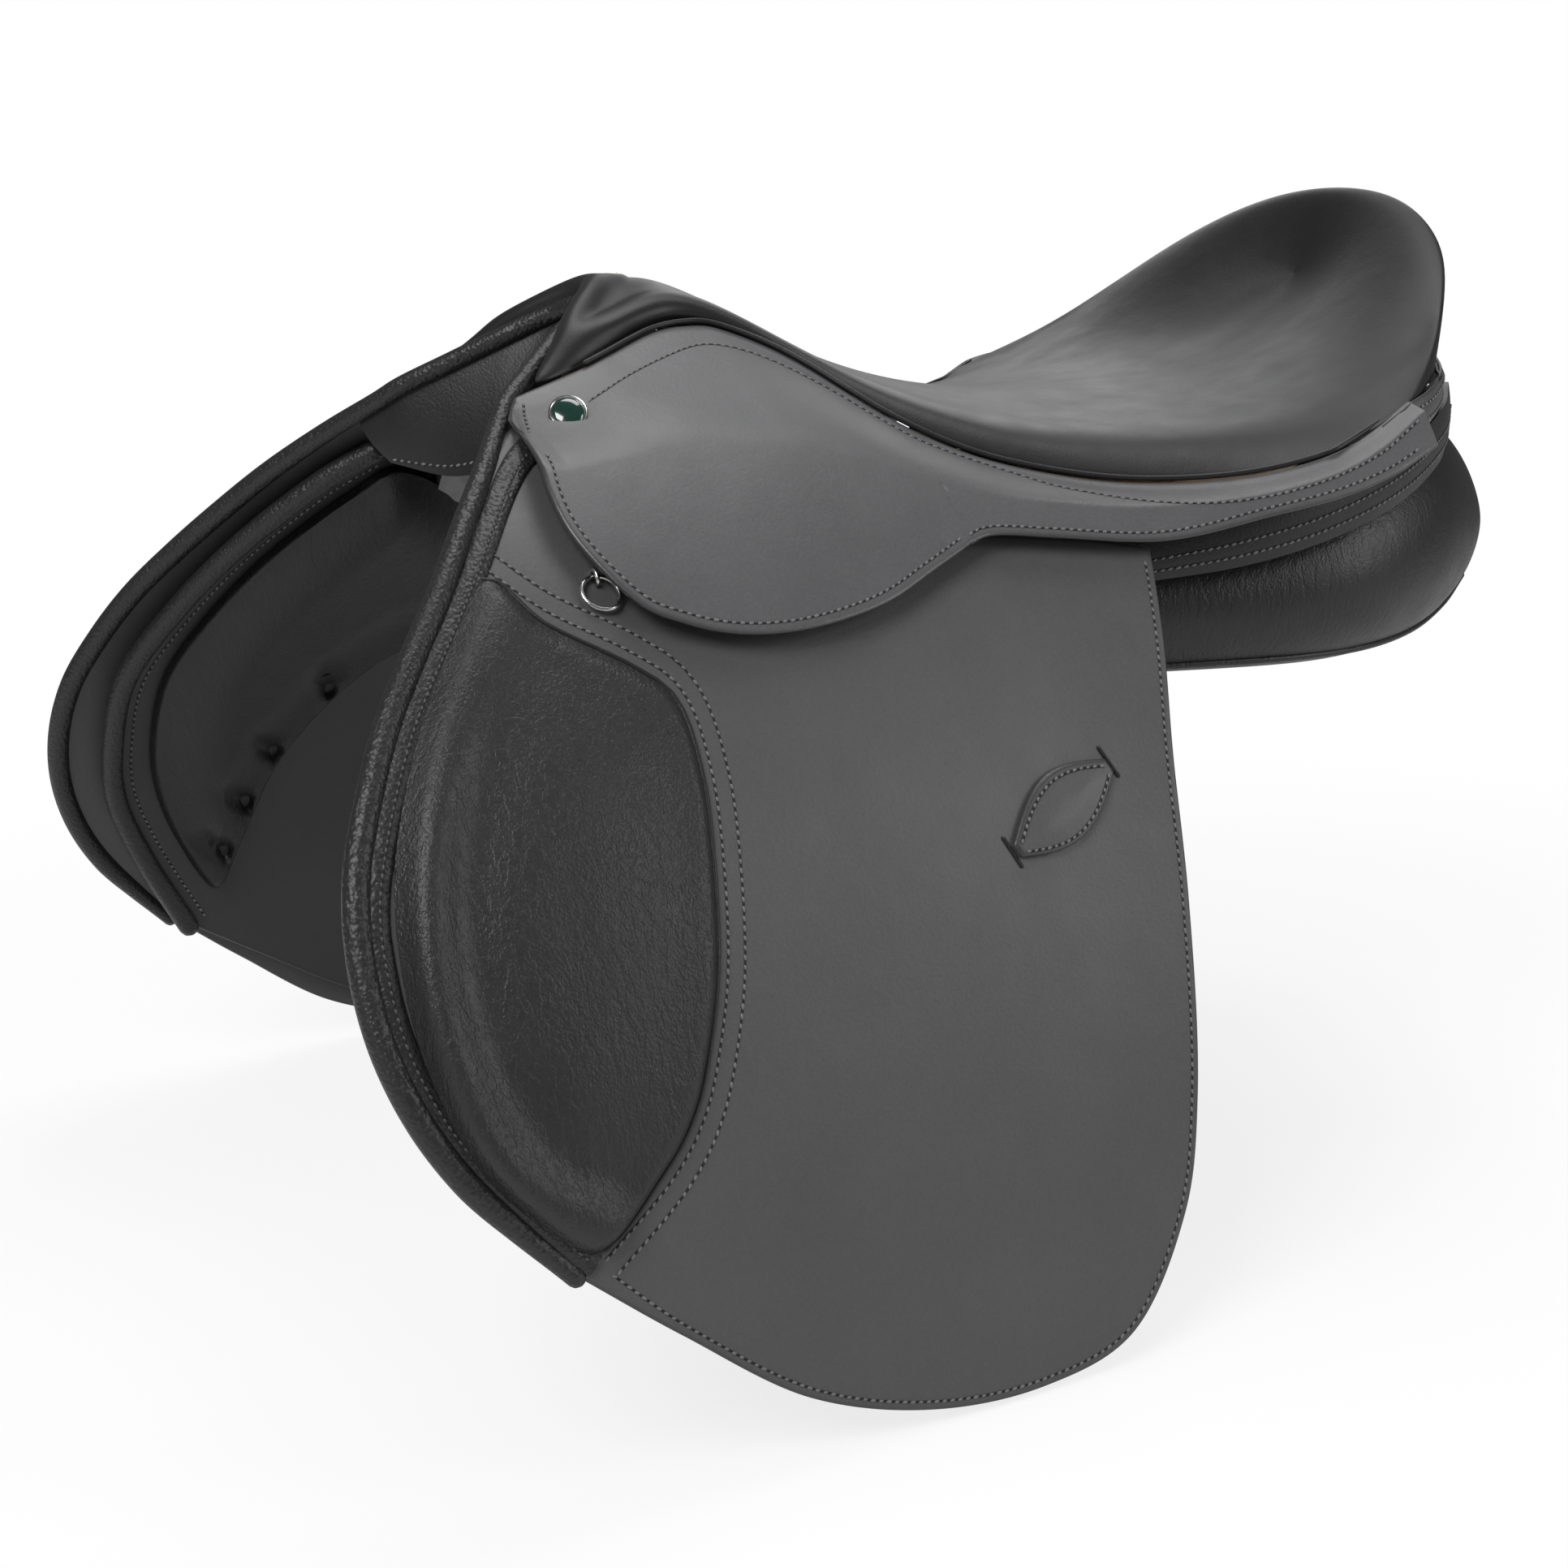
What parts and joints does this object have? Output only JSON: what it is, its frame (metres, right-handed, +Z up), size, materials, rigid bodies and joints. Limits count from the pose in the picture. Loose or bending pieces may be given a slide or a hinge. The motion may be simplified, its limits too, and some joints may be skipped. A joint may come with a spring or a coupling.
{
  "type": "all-purpose saddle",
  "caption": "All-purpose English saddle with forward flaps, knee pads, skirts over stirrup bars, wool panels and girth straps.",
  "frame": {"origin": "centre plane, at the level of the horse's back", "axes": "+X forward to the pommel, +Y to the horse's left, +Z up"},
  "size_m": [0.5853, 0.4922, 0.4153],
  "materials": {
    "beech_laminate": "laminated beech",
    "bright_steel": "polished",
    "foam": "open-cell foam",
    "forged_steel": "forged and blued",
    "grained_leather": "grained black leather",
    "padded_leather": "soft black leather",
    "seat_leather": "smooth black seat leather",
    "skirt_leather": "satin charcoal leather",
    "smooth_leather": "satin black leather",
    "webbing": "woven webbing"
  },
  "bodies": {
    "saddle": {"seat_cover": "seat_leather", "seat_foam": "foam", "tree_frame": "beech_laminate", "seat_web": "webbing", "head_plate": "forged_steel", "spring_steel_left": "forged_steel", "spring_steel_right": "forged_steel", "pommel_arch_roll": "grained_leather", "pommel_facing": "smooth_leather", "skirt_band_left": "skirt_leather", "skirt_band_right": "skirt_leather", "seat_welt_left": "smooth_leather", "seat_welt_right": "smooth_leather", "cantle_binding": "smooth_leather", "head_nail_left": "bright_steel", "head_nail_right": "bright_steel", "sweat_flap_left": "smooth_leather", "sweat_flap_roll_left": "grained_leather", "front_bolster_left": "padded_leather", "sweat_flap_right": "smooth_leather", "sweat_flap_roll_right": "grained_leather", "front_bolster_right": "padded_leather", "tree_point_left": "forged_steel", "tree_point_right": "forged_steel", "stirrup_bar_left": "forged_steel", "stirrup_bar_right": "forged_steel", "girth_web_front": "webbing", "girth_web_rear": "webbing", "panel_left": "padded_leather", "panel_right": "padded_leather", "panel_gusset_left": "smooth_leather", "panel_gusset_right": "smooth_leather"},
    "flap_left": {"flap_left": "smooth_leather", "flap_front_roll_left": "grained_leather", "knee_pad_left": "grained_leather", "stirrup_keeper_left": "smooth_leather", "dee_staple_left": "bright_steel"},
    "skirt_left": {"skirt_left": "skirt_leather"},
    "dee_left": {"dee_ring_left": "bright_steel"},
    "catch_left": {"bar_catch_left": "bright_steel"},
    "strap_front_left": {"girth_strap_front_left": "smooth_leather"},
    "strap_middle_left": {"girth_strap_middle_left": "smooth_leather"},
    "strap_rear_left": {"girth_strap_rear_left": "smooth_leather"},
    "flap_right": {"flap_right": "smooth_leather", "flap_front_roll_right": "grained_leather", "knee_pad_right": "grained_leather", "stirrup_keeper_right": "smooth_leather", "dee_staple_right": "bright_steel"},
    "skirt_right": {"skirt_right": "skirt_leather"},
    "dee_right": {"dee_ring_right": "bright_steel"},
    "catch_right": {"bar_catch_right": "bright_steel"},
    "strap_front_right": {"girth_strap_front_right": "smooth_leather"},
    "strap_middle_right": {"girth_strap_middle_right": "smooth_leather"},
    "strap_rear_right": {"girth_strap_rear_right": "smooth_leather"}
  },
  "joints": [
    {"name": "flap_lift_left", "type": "hinge", "parent": "saddle", "child": "flap_left", "pos_m": [0.188, 0.08978, 0.1033], "axis": [0.945, -0.2373, 0.225], "range_deg": [0, 75]},
    {"name": "skirt_lift_left", "type": "hinge", "parent": "flap_left", "child": "skirt_left", "pos_m": [0.188, 0.08978, 0.1033], "axis": [0.945, -0.2373, 0.225], "range_deg": [0, 55]},
    {"name": "dee_swing_left", "type": "hinge", "parent": "flap_left", "child": "dee_left", "pos_m": [0.1841, 0.12809, 0.05314], "axis": [1, 0, 0], "range_deg": [0, 15]},
    {"name": "catch_turn_left", "type": "hinge", "parent": "saddle", "child": "catch_left", "pos_m": [0.07966, 0.1178, 0.06237], "axis": [-0.0016, 0.7036, 0.7106], "range_deg": [0, 75]},
    {"name": "strap_swing_front_left", "type": "hinge", "parent": "saddle", "child": "strap_front_left", "pos_m": [0.118, 0.1363, 0.03], "axis": [0, -1, 0], "range_deg": [-1, 4.5]},
    {"name": "strap_swing_middle_left", "type": "hinge", "parent": "saddle", "child": "strap_middle_left", "pos_m": [0.08, 0.1363, 0.03], "axis": [0, -1, 0], "range_deg": [-1, 1]},
    {"name": "strap_swing_rear_left", "type": "hinge", "parent": "saddle", "child": "strap_rear_left", "pos_m": [0.048, 0.1363, 0.03], "axis": [0, -1, 0], "range_deg": [-4.5, 1]},
    {"name": "flap_lift_right", "type": "hinge", "parent": "saddle", "child": "flap_right", "pos_m": [0.188, -0.08978, 0.1033], "axis": [-0.945, -0.2373, -0.225], "range_deg": [0, 75]},
    {"name": "skirt_lift_right", "type": "hinge", "parent": "flap_right", "child": "skirt_right", "pos_m": [0.188, -0.08978, 0.1033], "axis": [-0.945, -0.2373, -0.225], "range_deg": [0, 55]},
    {"name": "dee_swing_right", "type": "hinge", "parent": "flap_right", "child": "dee_right", "pos_m": [0.1841, -0.12809, 0.05314], "axis": [-1, 0, 0], "range_deg": [0, 15]},
    {"name": "catch_turn_right", "type": "hinge", "parent": "saddle", "child": "catch_right", "pos_m": [0.07966, -0.1178, 0.06237], "axis": [0.0016, 0.7036, -0.7106], "range_deg": [0, 75]},
    {"name": "strap_swing_front_right", "type": "hinge", "parent": "saddle", "child": "strap_front_right", "pos_m": [0.118, -0.1363, 0.03], "axis": [0, -1, 0], "range_deg": [-1, 4.5]},
    {"name": "strap_swing_middle_right", "type": "hinge", "parent": "saddle", "child": "strap_middle_right", "pos_m": [0.08, -0.1363, 0.03], "axis": [0, -1, 0], "range_deg": [-1, 1]},
    {"name": "strap_swing_rear_right", "type": "hinge", "parent": "saddle", "child": "strap_rear_right", "pos_m": [0.048, -0.1363, 0.03], "axis": [0, -1, 0], "range_deg": [-4.5, 1]}
  ]
}
